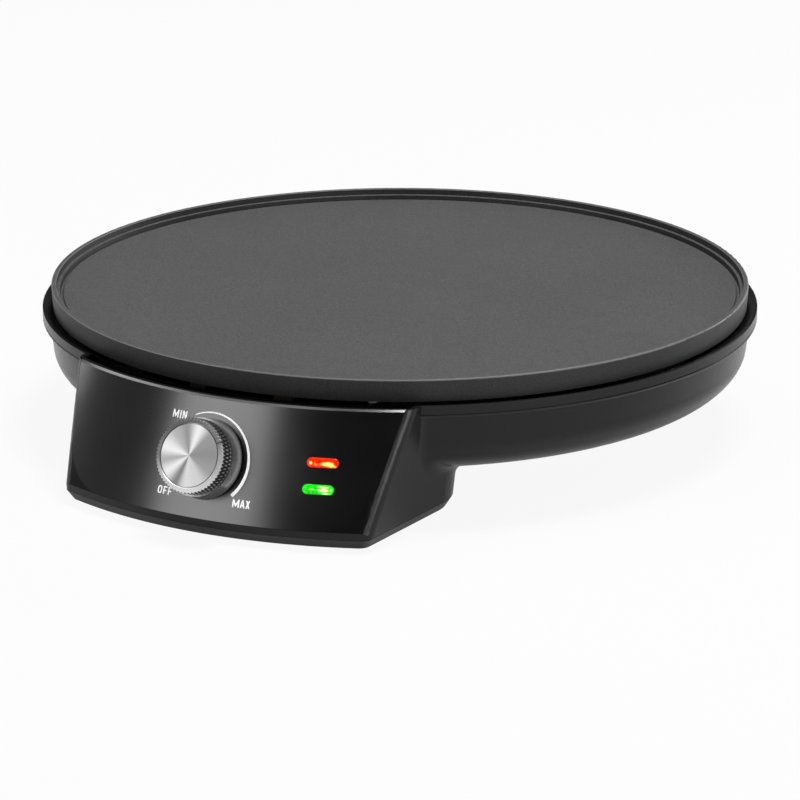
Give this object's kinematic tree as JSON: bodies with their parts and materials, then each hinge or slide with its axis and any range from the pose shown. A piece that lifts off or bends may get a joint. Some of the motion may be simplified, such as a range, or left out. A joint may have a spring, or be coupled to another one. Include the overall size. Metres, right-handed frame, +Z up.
{
  "type": "electric crepe maker",
  "caption": "Round flat crepe griddle with a raised rim on a shallow bowl housing, with a tilted front control panel, a rotary thermostat knob and two indicator lamps.",
  "frame": {"origin": "middle of the bounding box's footprint, on the counter that the feet stand on", "axes": "+Z up, +X to the right as the user sees it, -Y towards the user and the control panel"},
  "size_m": [0.318, 0.3528, 0.0663],
  "materials": {
    "plate_coating": "cast aluminium under a charcoal non-stick coating with fine pale speckles",
    "housing_plastic": "black moulded thermoplastic, semi-gloss",
    "panel_gloss": "high-gloss black faceplate with white print",
    "cover_plastic": "black moulded thermoplastic, satin",
    "foot_rubber": "black rubber, matt",
    "knob_plastic": "dark metallic paint on plastic, smooth",
    "knob_silver": "satin chrome, knurled round its side",
    "knob_disc": "spun aluminium, fine circular brushing",
    "steel": "bright zinc-plated or stainless steel",
    "sheath_steel": "heat-tinted stainless sheath, matt",
    "reflector_steel": "aluminised sheet steel",
    "spring_steel": "tempered spring steel",
    "ceramic_white": "unglazed white steatite",
    "copper": "drawn copper",
    "brass": "plain brass",
    "phenolic": "black phenolic moulding",
    "nylon_white": "natural nylon",
    "holder_plastic": "white heat-resistant moulding",
    "lens_red": "clear red moulding, glossy",
    "lens_green": "clear green moulding, glossy",
    "lamp_glass": "clear glass neon lamp",
    "wire_white": "silicone insulation, white",
    "wire_brown": "silicone insulation, brown",
    "wire_blue": "silicone insulation, blue",
    "wire_green": "silicone insulation, green and yellow"
  },
  "bodies": {
    "root": {"cooking_plate": "plate_coating", "heating_element": "sheath_steel", "element_insulators": "ceramic_white", "element_blades": "steel", "element_clamps": "steel", "probe_clips": "steel", "clamp_screws": "steel", "earth_terminal": "steel", "earth_screw": "brass", "heat_reflector": "reflector_steel", "plate_posts": "steel", "plate_screws": "steel", "thermostat_probe": "copper", "thermal_fuse": "ceramic_white", "housing": "housing_plastic", "front_panel": "panel_gloss", "bottom_cover": "cover_plastic", "cover_screws": "steel", "block_screw": "steel", "front_feet": "foot_rubber", "rear_feet": "foot_rubber", "cord_gland": "cover_plastic", "thermostat_body": "phenolic", "thermostat_bracket": "steel", "thermostat_screws": "steel", "thermostat_blades": "brass", "red_lens": "lens_red", "green_lens": "lens_green", "lamp_holder": "holder_plastic", "neon_lamps": "lamp_glass", "panel_screws": "steel", "terminal_block": "nylon_white", "terminal_barrels": "brass", "lead_receptacles": "phenolic", "heater_lead": "wire_brown", "live_lead": "wire_brown", "neutral_lead": "wire_blue", "fuse_lead": "wire_white", "earth_lead": "wire_green", "red_lamp_lead": "wire_white", "green_lamp_lead": "wire_white"},
    "knob": {"knob_hub": "knob_plastic", "knob_ring": "knob_silver", "knob_face": "knob_disc", "knob_spring": "spring_steel", "thermostat_shaft": "brass"}
  },
  "joints": [
    {"name": "knob_turn", "type": "hinge", "parent": "root", "child": "knob", "pos_m": [0, -0.15716, 0.03205], "axis": [0, 0.9272, -0.3746], "range_deg": [-193, 71]}
  ]
}
